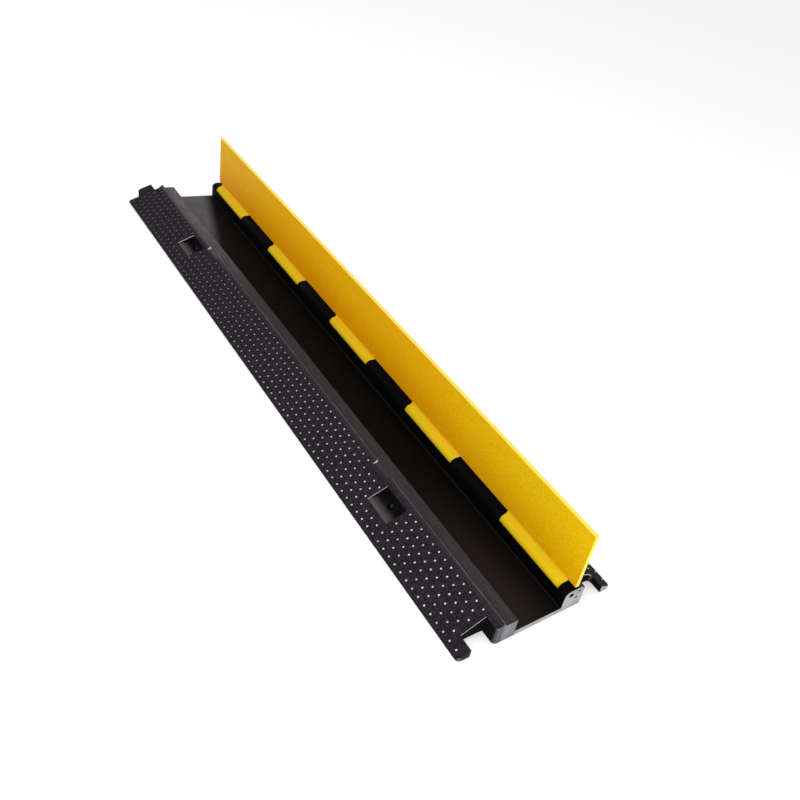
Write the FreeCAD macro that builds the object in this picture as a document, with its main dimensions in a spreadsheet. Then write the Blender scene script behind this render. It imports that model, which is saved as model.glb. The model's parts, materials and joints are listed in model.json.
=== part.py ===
"""Single-channel cable protector ramp with a hinged lid, shown with the lid open.

Frame: +X along the ramp towards its female end, +Y across towards the hinge, +Z up.
The origin is the middle of the base's underside, not counting the connector tabs.
Every size is in millimetres. The lid stands open at rest and closes towards -Y.
"""

import FreeCAD, Part
import math
import os
import Sketcher


# Driving dimensions

SIZES = {
    # base moulding, outside
    "base_length": 1000.0,
    "base_width": 210.0,
    "base_height": 30.0,
    "toe_height": 3.5,
    "rim_half_width": 52.5,
    "shoulder_half_width": 60.0,
    "shoulder_height": 23.5,
    "rim_draft": 1.5,
    "rim_rounding": 0.8,
    # cable channel
    "channel_half_width": 35.0,
    "floor_thickness": 6.5,
    # lid
    "lid_thickness": 5.0,
    "lid_seat_gap": 0.3,
    "lid_edge_gap": 2.0,
    "lid_end_gap": 1.0,
    "lid_rounding": 1.0,
    "lid_root_gap": 1.0,
    # hinge
    "axis_offset": 39.0,
    "hinge_wall_offset": 29.5,
    "barrel_radius": 7.5,
    "knuckle_length": 111.0,
    "knuckle_gap": 104.0,
    "knuckle_side_gap": 0.5,
    "cradle_gap": 0.6,
    "web_overlap": 1.0,
    "rod_radius": 3.0,
    "rod_gap": 0.08,
    "rod_recess": 4.0,
    "rod_chamfer": 0.6,
    # connectors
    "cutout_depth": 20.0,
    "cutout_inner": 61.0,
    "cutout_outer": 90.0,
    "cutout_rounding": 5.0,
    "finger_rounding": 5.0,
    "tab_reach": 20.0,
    "tab_gap": 4.0,
    "tab_rounding": 5.0,
    # fixing pockets and finger notches lie this far towards the +X end of their middle places
    "fitting_shift": -7.0,
    # fixing pockets
    "pocket_station": 305.0,
    "pocket_length": 43.0,
    "pocket_floor": 12.5,
    "pocket_inner": 60.0,
    "pocket_outer": 86.0,
    "bolt_offset": 66.5,
    "bolt_hole_radius": 4.5,
    # finger notches in the rim
    "notch_station": 261.0,
    "notch_length": 32.0,
    "notch_outer": 66.0,
    # blind moulding holes in the end faces
    "core_hole_radius": 1.7,
    "core_hole_depth": 12.0,
    "core_hole_low_offset": 48.0,
    "core_hole_low_height": 15.0,
    "core_hole_high_offset": 50.5,
    "core_hole_high_height": 24.5,
}

KNUCKLES = 5
OVERCUT = 5.0  # how far a cutting tool runs past the faces that it opens
BOTH = (-1, 1)


class Size:
    """A length that keeps its number and the sheet formula that gives it."""

    def __init__(self, number, formula):
        self.number = number
        self.formula = formula

    @staticmethod
    def of(other):
        if isinstance(other, Size):
            return other
        return Size(float(other), f"{float(other)} mm")

    def __add__(self, other):
        other = Size.of(other)
        return Size(self.number + other.number, f"({self.formula} + {other.formula})")

    def __sub__(self, other):
        other = Size.of(other)
        return Size(self.number - other.number, f"({self.formula} - {other.formula})")

    def __mul__(self, factor):
        return Size(self.number * factor, f"({self.formula} * {factor})")

    def __neg__(self):
        return self * -1

    def times_ratio(self, above, below):
        """This length times above / below."""
        number = self.number * above.number / below.number
        return Size(number, f"({self.formula} * {above.formula} / {below.formula})")


def size(name):
    """The named driving dimension."""
    return Size(SIZES[name], f"Sizes.{name} * 1 mm")


ZERO = Size(0.0, "0 mm")

# Derived sizes, each written once

half_length = size("base_length") * 0.5
half_width = size("base_width") * 0.5
axis_y = size("axis_offset")
axis_z = size("base_height") - size("barrel_radius")
ledge_height = size("base_height") - size("lid_thickness") - size("lid_seat_gap")
rim_foot = size("rim_half_width") - size("rim_draft")
cradle_radius = size("barrel_radius") + size("cradle_gap")
lid_outer_y = axis_y + size("barrel_radius")
lid_inner_y = lid_outer_y - size("lid_thickness")
lid_top = axis_z + axis_y + rim_foot - size("lid_edge_gap")
lid_root = axis_z + axis_y - size("hinge_wall_offset") + size("lid_root_gap")
web_top = lid_root + size("web_overlap")
lid_half_length = half_length - size("lid_end_gap")
knuckle_pitch = size("knuckle_length") + size("knuckle_gap")
first_knuckle = knuckle_pitch * (-0.5 * (KNUCKLES - 1)) - size("knuckle_length") * 0.5
rod_half_length = half_length - size("rod_recess")
tab_inner = size("cutout_inner") + size("tab_gap")
tab_outer = size("cutout_outer") - size("tab_gap")
ramp_rise = size("shoulder_height") - size("toe_height")
ramp_run = half_width - size("shoulder_half_width")


def ramp_height(offset):
    """Height of the ramp's surface at a distance from the middle plane."""
    return size("toe_height") + ramp_rise.times_ratio(half_width - offset, ramp_run)


# Document helpers

doc = FreeCAD.newDocument("CableProtectorRamp")
sheet = doc.addObject("Spreadsheet::Sheet", "Sizes")
for row, (alias, number) in enumerate(SIZES.items(), start=1):
    sheet.set(f"A{row}", alias)
    sheet.set(f"B{row}", str(number))
    sheet.setAlias(f"B{row}", alias)
doc.recompute()


def new_body(name):
    """A body with its label, standing in the shared frame."""
    body = doc.addObject("PartDesign::Body", name)
    body.Label = name
    body.Placement = FreeCAD.Placement()
    return body


def plane(body, role):
    """One of the body's own origin planes or axes."""
    for feature in body.Origin.OriginFeatures:
        if feature.Role == role:
            return feature
    raise ValueError(role)


def new_sketch(body, name, role, offset=ZERO):
    """A sketch on an origin plane of the body, moved along that plane's normal.

    On YZ_Plane the sketch's directions are Y and Z and its normal is +X.
    On XY_Plane they are X and Y and its normal is +Z.
    """
    sketch = body.newObject("Sketcher::SketchObject", name)
    sketch.AttachmentSupport = (plane(body, role), [""])
    sketch.MapMode = "FlatFace"
    sketch.setExpression("AttachmentOffset.Base.z", offset.formula)
    return sketch


def hold_distance(sketch, kind, edge, end, place):
    """Tie one coordinate of an edge's end or centre to its distance from the sketch's origin."""
    index = sketch.addConstraint(Sketcher.Constraint(kind, -1, 1, edge, end, place.number))
    sketch.setExpression(f"Constraints[{index}]", place.formula)


def hold_point(sketch, edge, end, across, along):
    """Tie an edge's end (1 or 2) or centre (3) to its place from the sketch's origin."""
    hold_distance(sketch, "DistanceX", edge, end, across)
    hold_distance(sketch, "DistanceY", edge, end, along)


def hold_radius(sketch, edge, radius):
    """Tie the radius of a circle or an arc."""
    index = sketch.addConstraint(Sketcher.Constraint("Radius", edge, radius.number))
    sketch.setExpression(f"Constraints[{index}]", radius.formula)


def draw_path(sketch, corners):
    """Straight edges joined end to end through corners, with no constraint on their places."""
    spots = [FreeCAD.Vector(across.number, along.number, 0) for across, along in corners]
    edges = [sketch.addGeometry(Part.LineSegment(a, b)) for a, b in zip(spots, spots[1:])]
    for edge, following in zip(edges, edges[1:]):
        sketch.addConstraint(Sketcher.Constraint("Coincident", edge, 2, following, 1))
    return edges


def draw_outline(sketch, corners):
    """A closed outline of straight edges through corners given as pairs of sizes."""
    edges = draw_path(sketch, corners + corners[:1])
    sketch.addConstraint(Sketcher.Constraint("Coincident", edges[-1], 2, edges[0], 1))
    for edge, (across, along) in zip(edges, corners):
        hold_point(sketch, edge, 1, across, along)


def draw_rectangle(sketch, low, high):
    """A rectangle between two corners given as pairs of sizes."""
    draw_outline(sketch, [low, (high[0], low[1]), high, (low[0], high[1])])


def draw_circle(sketch, across, along, radius):
    """A circle with its centre and radius tied to sizes."""
    centre = FreeCAD.Vector(across.number, along.number, 0)
    edge = sketch.addGeometry(Part.Circle(centre, FreeCAD.Vector(0, 0, 1), radius.number))
    hold_point(sketch, edge, 3, across, along)
    hold_radius(sketch, edge, radius)


def extrude(body, kind, name, sketch, length=None, symmetric=False, backwards=False):
    """A Pad or Pocket of a sketch. With no length, a Pocket goes through everything."""
    feature = body.newObject(f"PartDesign::{kind}", name)
    feature.Profile = sketch
    if symmetric:
        feature.SideType = "Symmetric"
    if length is None:
        feature.Type = "ThroughAll"
    else:
        feature.setExpression("Length", length.formula)
    feature.Reversed = backwards
    feature.Refine = True
    doc.recompute()
    return feature


def along_x(body, name, feature, step):
    """Repeat a feature once for each lid knuckle, a step apart along X."""
    pattern = body.newObject("PartDesign::LinearPattern", name)
    pattern.Originals = [feature]
    pattern.Direction = (plane(body, "X_Axis"), [""])
    pattern.Mode = "Spacing"
    pattern.setExpression("Offset", step.formula)
    pattern.Occurrences = KNUCKLES
    body.Tip = pattern
    doc.recompute()
    return pattern


def mirror(body, name, feature, role):
    """Repeat a feature on the other side of an origin plane."""
    mirrored = body.newObject("PartDesign::Mirrored", name)
    mirrored.Originals = [feature]
    mirrored.MirrorPlane = (plane(body, role), [""])
    body.Tip = mirrored
    doc.recompute()
    return mirrored


def dress(body, kind, name, wanted, amount, dimension):
    """A Fillet or Chamfer on the edges of the body's tip for which wanted(edge) holds."""
    tip = body.Tip
    names = [f"Edge{n}" for n, edge in enumerate(tip.Shape.Edges, start=1) if wanted(edge)]
    if not names:
        raise RuntimeError(f"{name}: no edge to dress")
    feature = body.newObject(f"PartDesign::{kind}", name)
    feature.Base = (tip, names)
    feature.setExpression(dimension, amount.formula)
    doc.recompute()
    return feature


def runs_along(edge, axis):
    """True for a straight edge parallel to the axis numbered 0, 1 or 2."""
    if edge.Curve.TypeId != "Part::GeomLine":
        return False
    return abs(abs(edge.tangentAt(edge.FirstParameter)[axis]) - 1) < 1e-6


def lies_at(edge, **place):
    """True when the edge's middle has the given x, y or z."""
    middle = edge.CenterOfMass
    return all(abs(getattr(middle, axis) - where) < 1e-3 for axis, where in place.items())


# Base moulding

def make_base():
    body = new_body("base_moulding")

    section = new_sketch(body, "base_section", "YZ_Plane")
    rim = size("rim_half_width")
    shoulder = size("shoulder_half_width")
    draw_outline(section, [
        (-half_width, ZERO),
        (-half_width, size("toe_height")),
        (-shoulder, size("shoulder_height")),
        (-rim, size("base_height")),
        (-rim_foot, ledge_height),
        (-size("channel_half_width"), ledge_height),
        (-size("channel_half_width"), size("floor_thickness")),
        (size("hinge_wall_offset"), size("floor_thickness")),
        (size("hinge_wall_offset"), size("base_height")),
        (rim, size("base_height")),
        (shoulder, size("shoulder_height")),
        (half_width, size("toe_height")),
        (half_width, ZERO),
    ])
    extrude(body, "Pad", "base_run", section, size("base_length"), symmetric=True)

    def barrel_edge(edge):
        return runs_along(edge, 0) and lies_at(edge, y=SIZES["hinge_wall_offset"], z=SIZES["base_height"])

    dress(body, "Fillet", "base_barrel", barrel_edge, size("barrel_radius"), "Radius")

    add_connector_tabs(body)
    cut_connector_cutouts(body)
    round_mouth_corners(body)
    cut_cradles(body)
    cut_fixing_pockets(body)
    cut_finger_notches(body)
    cut_end_holes(body)

    def rim_edge(edge):
        on_rim = abs(abs(edge.CenterOfMass.y) - SIZES["rim_half_width"]) < 1e-3
        return runs_along(edge, 0) and on_rim and abs(edge.CenterOfMass.z - SIZES["base_height"]) < 1e-3

    dress(body, "Fillet", "rounded_rims", rim_edge, size("rim_rounding"), "Radius")
    return body


def add_connector_tabs(body):
    """Male tabs at the -X end, under the ramps' own surface."""
    sketch = new_sketch(body, "tab_section", "YZ_Plane", -half_length)
    for side in BOTH:
        draw_outline(sketch, [
            (tab_inner * side, ZERO),
            (tab_outer * side, ZERO),
            (tab_outer * side, ramp_height(tab_outer)),
            (tab_inner * side, ramp_height(tab_inner)),
        ])
    extrude(body, "Pad", "connector_tabs", sketch, size("tab_reach"), backwards=True)
    tip_x = -half_length.number - SIZES["tab_reach"]

    def tab_corner(edge):
        outer = abs(abs(edge.CenterOfMass.y) - tab_outer.number) < 1e-3
        return runs_along(edge, 2) and outer and abs(edge.CenterOfMass.x - tip_x) < 1e-3

    dress(body, "Fillet", "tab_corners", tab_corner, size("tab_rounding"), "Radius")


def cut_connector_cutouts(body):
    """Female cut-outs at the +X end, which leave a finger along each toe."""
    sketch = new_sketch(body, "cutout_plan", "XY_Plane")
    for side in BOTH:
        draw_rectangle(
            sketch,
            (half_length - size("cutout_depth"), size("cutout_inner") * side),
            (half_length + OVERCUT, size("cutout_outer") * side),
        )
    extrude(body, "Pocket", "connector_cutouts", sketch, backwards=True)
    root_x = half_length.number - SIZES["cutout_depth"]

    def hook_corner(edge):
        at_root = abs(edge.CenterOfMass.x - root_x) < 1e-3
        return runs_along(edge, 2) and at_root and abs(edge.CenterOfMass.y - SIZES["cutout_outer"]) < 1e-3

    def finger_corner(edge):
        on_toe = abs(abs(edge.CenterOfMass.y) - half_width.number) < 1e-3
        return runs_along(edge, 2) and on_toe and abs(edge.CenterOfMass.x - half_length.number) < 1e-3

    dress(body, "Fillet", "hook_corner", hook_corner, size("cutout_rounding"), "Radius")
    dress(body, "Fillet", "finger_corners", finger_corner, size("finger_rounding"), "Radius")


def round_mouth_corners(body):
    """Round the corners between the end face and the cut-outs, across the rim's shoulder."""
    sketch = new_sketch(body, "mouth_plan", "XY_Plane")
    radius = size("cutout_rounding")
    centre_x = half_length - radius
    for side in BOTH:
        wall = size("cutout_inner") * side
        centre_y = wall - radius * side
        corners = [(half_length, centre_y), (half_length, wall), (centre_x, wall)]
        edges = draw_path(sketch, corners)
        turn = Part.Circle(FreeCAD.Vector(centre_x.number, centre_y.number, 0), FreeCAD.Vector(0, 0, 1),
                           radius.number)
        first, last = sorted((0.0, 0.5 * math.pi * side))
        arc = sketch.addGeometry(Part.ArcOfCircle(turn, first, last))
        start, end = (1, 2) if side > 0 else (2, 1)
        sketch.addConstraint(Sketcher.Constraint("Coincident", edges[0], 1, arc, start))
        sketch.addConstraint(Sketcher.Constraint("Coincident", edges[-1], 2, arc, end))
        for edge, (across, along) in zip(edges, corners):
            hold_point(sketch, edge, 1, across, along)
        hold_point(sketch, edges[-1], 2, *corners[-1])
        hold_distance(sketch, "DistanceX", arc, 3, centre_x)
    extrude(body, "Pocket", "mouth_corners", sketch, backwards=True)


def cut_cradles(body):
    """The bore for the rod, and the hollows in which the lid's knuckles turn.

    Each hollow is open above the rod's line and keeps a thin lip towards the channel below it.
    """
    bore = new_sketch(body, "bore_section", "YZ_Plane")
    draw_circle(bore, axis_y, axis_z, size("rod_radius") + size("rod_gap"))
    extrude(body, "Pocket", "rod_bore", bore, size("base_length") + OVERCUT * 2, symmetric=True)

    start = first_knuckle - size("knuckle_side_gap")
    sketch = new_sketch(body, "cradle_section", "YZ_Plane", start)
    mouth = size("hinge_wall_offset") - OVERCUT
    front = axis_y - cradle_radius
    back = axis_y + cradle_radius
    top = size("base_height") + OVERCUT
    corners = [(front, axis_z), (mouth, axis_z), (mouth, top), (back, top), (back, axis_z)]
    edges = draw_path(sketch, corners)
    turn = Part.Circle(FreeCAD.Vector(axis_y.number, axis_z.number, 0), FreeCAD.Vector(0, 0, 1),
                       cradle_radius.number)
    arc = sketch.addGeometry(Part.ArcOfCircle(turn, -math.pi, 0.0))
    sketch.addConstraint(Sketcher.Constraint("Coincident", edges[0], 1, arc, 1))
    sketch.addConstraint(Sketcher.Constraint("Coincident", edges[-1], 2, arc, 2))
    for edge, (across, along) in zip(edges, corners):
        hold_point(sketch, edge, 1, across, along)
    hold_point(sketch, edges[-1], 2, *corners[-1])
    hold_distance(sketch, "DistanceY", arc, 3, axis_z)
    cradle = extrude(body, "Pocket", "cradle", sketch,
                     size("knuckle_length") + size("knuckle_side_gap") * 2, backwards=True)
    along_x(body, "cradles", cradle, knuckle_pitch)


def cut_fixing_pockets(body):
    """Flat-bottomed pockets in both ramps, each with a hole for a ground bolt."""
    pockets = new_sketch(body, "pocket_plan", "XY_Plane", size("pocket_floor"))
    holes = new_sketch(body, "bolt_plan", "XY_Plane")
    for end in BOTH:
        for side in BOTH:
            middle = size("pocket_station") * end + size("fitting_shift")
            draw_rectangle(
                pockets,
                (middle - size("pocket_length") * 0.5, size("pocket_inner") * side),
                (middle + size("pocket_length") * 0.5, size("pocket_outer") * side),
            )
            draw_circle(holes, middle, size("bolt_offset") * side, size("bolt_hole_radius"))
    extrude(body, "Pocket", "fixing_pockets", pockets, size("base_height"), backwards=True)
    extrude(body, "Pocket", "bolt_holes", holes, backwards=True)


def cut_finger_notches(body):
    """Notches through the rim, level with the ledge, to get a finger to the lid's edge."""
    sketch = new_sketch(body, "notch_plan", "XY_Plane", ledge_height)
    for end in BOTH:
        middle = size("notch_station") * end + size("fitting_shift")
        draw_rectangle(
            sketch,
            (middle - size("notch_length") * 0.5, -size("notch_outer")),
            (middle + size("notch_length") * 0.5, -rim_foot + OVERCUT),
        )
    extrude(body, "Pocket", "finger_notches", sketch, size("base_height"), backwards=True)


def cut_end_holes(body):
    """Two small blind holes in each end face, behind the hinge."""
    sketch = new_sketch(body, "end_hole_section", "YZ_Plane", half_length)
    for level in ("low", "high"):
        draw_circle(sketch, size(f"core_hole_{level}_offset"), size(f"core_hole_{level}_height"),
                    size("core_hole_radius"))
    holes = extrude(body, "Pocket", "end_holes", sketch, size("core_hole_depth"))
    mirror(body, "far_end_holes", holes, "YZ_Plane")


# Lid

def make_lid():
    body = new_body("lid")
    plate = new_sketch(body, "plate_section", "YZ_Plane")
    draw_rectangle(plate, (lid_inner_y, lid_root), (lid_outer_y, lid_top))
    extrude(body, "Pad", "plate", plate, lid_half_length * 2, symmetric=True)
    make_lid_knuckles(body)

    def free_edge(edge):
        straight = runs_along(edge, 0) and abs(edge.CenterOfMass.z - lid_top.number) < 1e-3
        at_end = abs(abs(edge.CenterOfMass.x) - lid_half_length.number) < 1e-3
        upright = runs_along(edge, 2) and at_end
        return straight or upright

    dress(body, "Fillet", "rounded_edges", free_edge, size("lid_rounding"), "Radius")
    return body


def make_lid_knuckles(body):
    """Barrels on the rod's line, each with a web from its top up to the plate's inner face."""
    sketch = new_sketch(body, "knuckle_section", "YZ_Plane", first_knuckle)
    radius = size("barrel_radius")
    barrel = Part.Circle(FreeCAD.Vector(axis_y.number, axis_z.number, 0), FreeCAD.Vector(0, 0, 1),
                         radius.number)
    arc = sketch.addGeometry(Part.ArcOfCircle(barrel, 0.5 * math.pi, 2 * math.pi))
    barrel_top = (axis_y, axis_z + radius)
    corners = [(lid_outer_y, axis_z), (lid_outer_y, web_top), (lid_inner_y, web_top), barrel_top]
    edges = draw_path(sketch, corners)
    for edge, (across, along) in zip(edges[1:], corners[1:]):
        hold_point(sketch, edge, 1, across, along)
    hold_point(sketch, arc, 3, axis_y, axis_z)
    hold_radius(sketch, arc, radius)
    sketch.addConstraint(Sketcher.Constraint("Tangent", arc, 2, edges[0], 1))
    sketch.addConstraint(Sketcher.Constraint("Coincident", edges[-1], 2, arc, 1))
    hold_distance(sketch, "DistanceX", arc, 1, axis_y)
    knuckle = extrude(body, "Pad", "knuckle", sketch, size("knuckle_length"))
    along_x(body, "knuckles", knuckle, knuckle_pitch)
    bore = new_sketch(body, "lid_bore_section", "YZ_Plane")
    draw_circle(bore, axis_y, axis_z, size("rod_radius") + size("rod_gap"))
    extrude(body, "Pocket", "lid_bore", bore, size("base_length") + OVERCUT * 2, symmetric=True)


# Hinge rod

def make_rod():
    body = new_body("hinge_rod")
    section = new_sketch(body, "rod_section", "YZ_Plane")
    draw_circle(section, axis_y, axis_z, size("rod_radius"))
    extrude(body, "Pad", "rod", section, rod_half_length * 2, symmetric=True)

    def end_edge(edge):
        return edge.Curve.TypeId == "Part::GeomCircle"

    dress(body, "Chamfer", "rod_ends", end_edge, size("rod_chamfer"), "Size")
    return body


bodies = [make_base(), make_lid(), make_rod()]
doc.recompute()

for item in doc.Objects:
    if "Invalid" in item.State or "Error" in item.State:
        raise RuntimeError(f"{item.Name} is {item.State}")
for body in bodies:
    if body.Shape.isNull() or not body.Shape.isValid():
        raise RuntimeError(f"{body.Label} has no valid shape")
    if len(body.Shape.Solids) != 1:
        raise RuntimeError(f"{body.Label} is {len(body.Shape.Solids)} solids")

os.makedirs("parts", exist_ok=True)
for body in bodies:
    body.Shape.exportStep(f"parts/{body.Label}.step")
    box = body.Shape.BoundBox
    print(f"{body.Label}: {body.Shape.Volume / 1000:.1f} cm3, x {box.XMin:.1f} {box.XMax:.1f},"
          f" y {box.YMin:.1f} {box.YMax:.1f}, z {box.ZMin:.1f} {box.ZMax:.1f}")
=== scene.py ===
"""Looks of a single-channel cable ramp: black rubber base, dimpled ramps, hinged yellow lid standing open."""

import json
import logging
import math
from dataclasses import dataclass
from enum import Enum
from typing import Callable

import bmesh
import bpy
from mathutils import Matrix, Vector


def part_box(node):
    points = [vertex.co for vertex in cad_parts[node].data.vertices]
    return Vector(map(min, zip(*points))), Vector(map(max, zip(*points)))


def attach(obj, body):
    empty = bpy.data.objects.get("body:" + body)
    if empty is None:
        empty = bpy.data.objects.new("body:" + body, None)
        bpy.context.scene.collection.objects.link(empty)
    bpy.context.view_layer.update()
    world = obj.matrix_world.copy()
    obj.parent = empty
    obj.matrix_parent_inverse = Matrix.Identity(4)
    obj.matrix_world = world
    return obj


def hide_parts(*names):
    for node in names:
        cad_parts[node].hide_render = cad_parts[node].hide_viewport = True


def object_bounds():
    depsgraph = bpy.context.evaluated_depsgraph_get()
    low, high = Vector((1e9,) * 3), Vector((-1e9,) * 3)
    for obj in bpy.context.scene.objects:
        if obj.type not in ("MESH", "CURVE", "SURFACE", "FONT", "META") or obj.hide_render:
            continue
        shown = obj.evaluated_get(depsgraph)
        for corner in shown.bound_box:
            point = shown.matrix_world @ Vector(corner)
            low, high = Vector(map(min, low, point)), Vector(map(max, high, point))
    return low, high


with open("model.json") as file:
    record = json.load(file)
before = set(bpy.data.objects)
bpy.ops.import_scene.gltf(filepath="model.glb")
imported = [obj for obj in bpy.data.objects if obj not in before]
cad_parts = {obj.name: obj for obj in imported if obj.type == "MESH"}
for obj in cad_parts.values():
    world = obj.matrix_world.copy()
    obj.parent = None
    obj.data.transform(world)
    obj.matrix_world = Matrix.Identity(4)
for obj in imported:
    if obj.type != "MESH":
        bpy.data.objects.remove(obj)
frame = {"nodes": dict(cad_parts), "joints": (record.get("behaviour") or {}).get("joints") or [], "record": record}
CAD_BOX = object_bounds()

log = logging.getLogger("cable_ramp")
logging.basicConfig(level=logging.INFO, format="%(name)s: %(message)s")

MM = 0.001
FLAT_WIDTH = 3.0 * MM  # a face at least this wide is flat, a narrower one is part of a rounding
WEAR = "corner_wear"  # the attribute that marks the roundings
CROWN = "crown"  # the attribute that holds a stud's height, 1 at its top
MIX_FACTOR, MIX_LOW, MIX_HIGH, MIX_RESULT = 0, 6, 7, 2  # a colour Mix node's sockets, whose names repeat


class Body(Enum):
    """The bodies that move as one in the frame."""

    BASE = "base"
    LID = "lid"


class Slot(Enum):
    """The record's finishes on the pieces that are made here."""

    RUBBER = "black_rubber"
    LID = "yellow_lid"


# Node tools


class Signal:
    """A node's output with arithmetic: an expression on signals adds its Math nodes."""

    def __init__(self, graph: "Graph", socket: bpy.types.NodeSocket) -> None:
        """Wrap a socket.

        Args:
            graph: the node tree that the socket belongs to.
            socket: an output socket.
        """
        self.graph = graph
        self.socket = socket

    def __add__(self, other: "Signal | float") -> "Signal":
        """Sum."""
        return self.graph.math("ADD", self, other)

    __radd__ = __add__

    def __sub__(self, other: "Signal | float") -> "Signal":
        """Difference."""
        return self.graph.math("SUBTRACT", self, other)

    def __rsub__(self, other: "Signal | float") -> "Signal":
        """Difference from a number."""
        return self.graph.math("SUBTRACT", other, self)

    def __mul__(self, other: "Signal | float") -> "Signal":
        """Product."""
        return self.graph.math("MULTIPLY", self, other)

    __rmul__ = __mul__

    def __gt__(self, other: "Signal | float") -> "Signal":
        """1 where this is greater, else 0."""
        return self.graph.math("GREATER_THAN", self, other)

    def __lt__(self, other: "Signal | float") -> "Signal":
        """1 where this is less, else 0."""
        return self.graph.math("LESS_THAN", self, other)

    def __abs__(self) -> "Signal":
        """Size without sign."""
        return self.graph.math("ABSOLUTE", self)

    def rise(self, low: float, high: float) -> "Signal":
        """Go smoothly from 0 at low to 1 at high.

        Args:
            low: where the result starts to rise.
            high: where it reaches 1.

        Returns:
            The smooth step.
        """
        settings = {"interpolation_type": "SMOOTHSTEP"}
        sockets = {"Value": self, "From Min": low, "From Max": high}
        node = self.graph.node("ShaderNodeMapRange", settings, sockets)
        return Signal(self.graph, node.outputs[0])

    def lifted(self, least: float) -> "Signal":
        """This value, 0 to 1, squeezed to run from the least value to 1."""
        return least + (1.0 - least) * self


Triple = tuple[float, float, float]
Colour = Triple
Span = tuple[float, float]
Source = Signal | bpy.types.NodeSocket | bpy.types.ID | float | str | Triple


class Graph:
    """A node tree under construction."""

    def __init__(self, tree: bpy.types.NodeTree) -> None:
        """Take the tree.

        Args:
            tree: the tree that gets the nodes.
        """
        self.tree = tree

    def node(self, kind: str, settings: dict | None = None, sockets: dict | None = None) -> bpy.types.Node:
        """Add a node.

        Args:
            kind: the node's type.
            settings: its own properties, set first.
            sockets: a value or a link for each input, by name or number.

        Returns:
            The new node.
        """
        made = self.tree.nodes.new(kind)
        for name, value in (settings or {}).items():
            setattr(made, name, value)
        for key, value in (sockets or {}).items():
            self.feed(made.inputs[key], value)
        return made

    def feed(self, target: bpy.types.NodeSocket, value: Source) -> None:
        """Link or set an input.

        Args:
            target: the input socket.
            value: a signal, an output socket or a plain value.
        """
        if isinstance(value, Signal):
            self.tree.links.new(value.socket, target)
        elif isinstance(value, bpy.types.NodeSocket):
            self.tree.links.new(value, target)
        elif isinstance(value, tuple) and target.type == "RGBA":
            target.default_value = (*value, 1.0)
        else:
            target.default_value = value

    def math(self, operation: str, *values: Signal | float) -> Signal:
        """Add a Math node.

        Args:
            operation: its operation.
            values: its inputs, in order.

        Returns:
            The node's result.
        """
        node = self.node("ShaderNodeMath", {"operation": operation}, dict(enumerate(values)))
        return Signal(self, node.outputs[0])

    def split(self, vector: bpy.types.NodeSocket) -> tuple[Signal, Signal, Signal]:
        """Take a vector apart.

        Args:
            vector: the socket that gives it.

        Returns:
            Its three numbers.
        """
        outputs = self.node("ShaderNodeSeparateXYZ", {}, {0: vector}).outputs
        return Signal(self, outputs[0]), Signal(self, outputs[1]), Signal(self, outputs[2])

    def join(self, x: Signal | float = 0.0, y: Signal | float = 0.0,
             z: Signal | float = 0.0) -> bpy.types.NodeSocket:
        """Put a vector together.

        Args:
            x: its first number.
            y: its second number.
            z: its third number.

        Returns:
            The vector.
        """
        return self.node("ShaderNodeCombineXYZ", {}, {"X": x, "Y": y, "Z": z}).outputs[0]


@dataclass(frozen=True)
class Pattern:
    """A noise pattern on a piece: its features to the metre, its finer layers and its contrast."""

    scale: float
    detail: float
    span: Span | None = None  # the noise that gives 0 and the noise that gives 1
    stretch: Triple = (1.0, 1.0, 1.0)  # under 1 draws the pattern out along that axis


class Shader(Graph):
    """A material under construction, with one Principled surface."""

    def __init__(self, name: str) -> None:
        """Start an empty material.

        Args:
            name: the material's name.
        """
        self.material = bpy.data.materials.new(name)
        self.material.use_nodes = True
        super().__init__(self.material.node_tree)
        self.tree.nodes.clear()
        self.surface = self.node("ShaderNodeBsdfPrincipled")
        self.node("ShaderNodeOutputMaterial", {}, {"Surface": self.surface.outputs[0]})
        coordinates = self.node("ShaderNodeTexCoord").outputs
        self.place = coordinates["Object"]
        self.x, self.y, self.z = self.split(self.place)
        self.facing_x, self.facing_y, self.facing_z = self.split(coordinates["Normal"])

    def noise(self, pattern: Pattern) -> Signal:
        """Add a noise texture on object coordinates.

        Args:
            pattern: how it looks.

        Returns:
            The pattern, 0 to 1.
        """
        place = self.node("ShaderNodeMapping", {}, {"Vector": self.place, "Scale": pattern.stretch})
        sockets = {"Vector": place.outputs[0], "Scale": pattern.scale, "Detail": pattern.detail}
        noise = Signal(self, self.node("ShaderNodeTexNoise", {}, sockets).outputs["Fac"])
        return noise.rise(*pattern.span) if pattern.span else noise

    def attribute(self, name: str) -> Signal:
        """Read a number stored on the mesh.

        Args:
            name: the attribute's name.

        Returns:
            Its value.
        """
        return Signal(self, self.node("ShaderNodeAttribute", {"attribute_name": name}).outputs["Fac"])

    def mix(self, factor: Signal, low: Source, high: Source) -> bpy.types.NodeSocket:
        """Mix two colours.

        Args:
            factor: 0 for the first colour, 1 for the second.
            low: the first colour.
            high: the second colour.

        Returns:
            The mixed colour.
        """
        node = self.node("ShaderNodeMix", {"data_type": "RGBA"})
        self.feed(node.inputs[MIX_FACTOR], factor)
        self.feed(node.inputs[MIX_LOW], low)
        self.feed(node.inputs[MIX_HIGH], high)
        return node.outputs[MIX_RESULT]

    def bump(self, height: Signal, depth: float, strength: float) -> None:
        """Give the surface a relief that its shape doesn't have.

        Args:
            height: the relief, 0 to 1.
            depth: its depth in metres.
            strength: how strongly it shows.
        """
        sockets = {"Height": height, "Distance": depth, "Strength": strength}
        relief = self.node("ShaderNodeBump", {}, sockets)
        self.feed(self.surface.inputs["Normal"], relief.outputs[0])

    def set(self, socket: str, value: Source) -> None:
        """Set or link one of the surface's sockets.

        Args:
            socket: its name.
            value: what goes into it.
        """
        self.feed(self.surface.inputs[socket], value)


# The ramps' section


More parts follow.
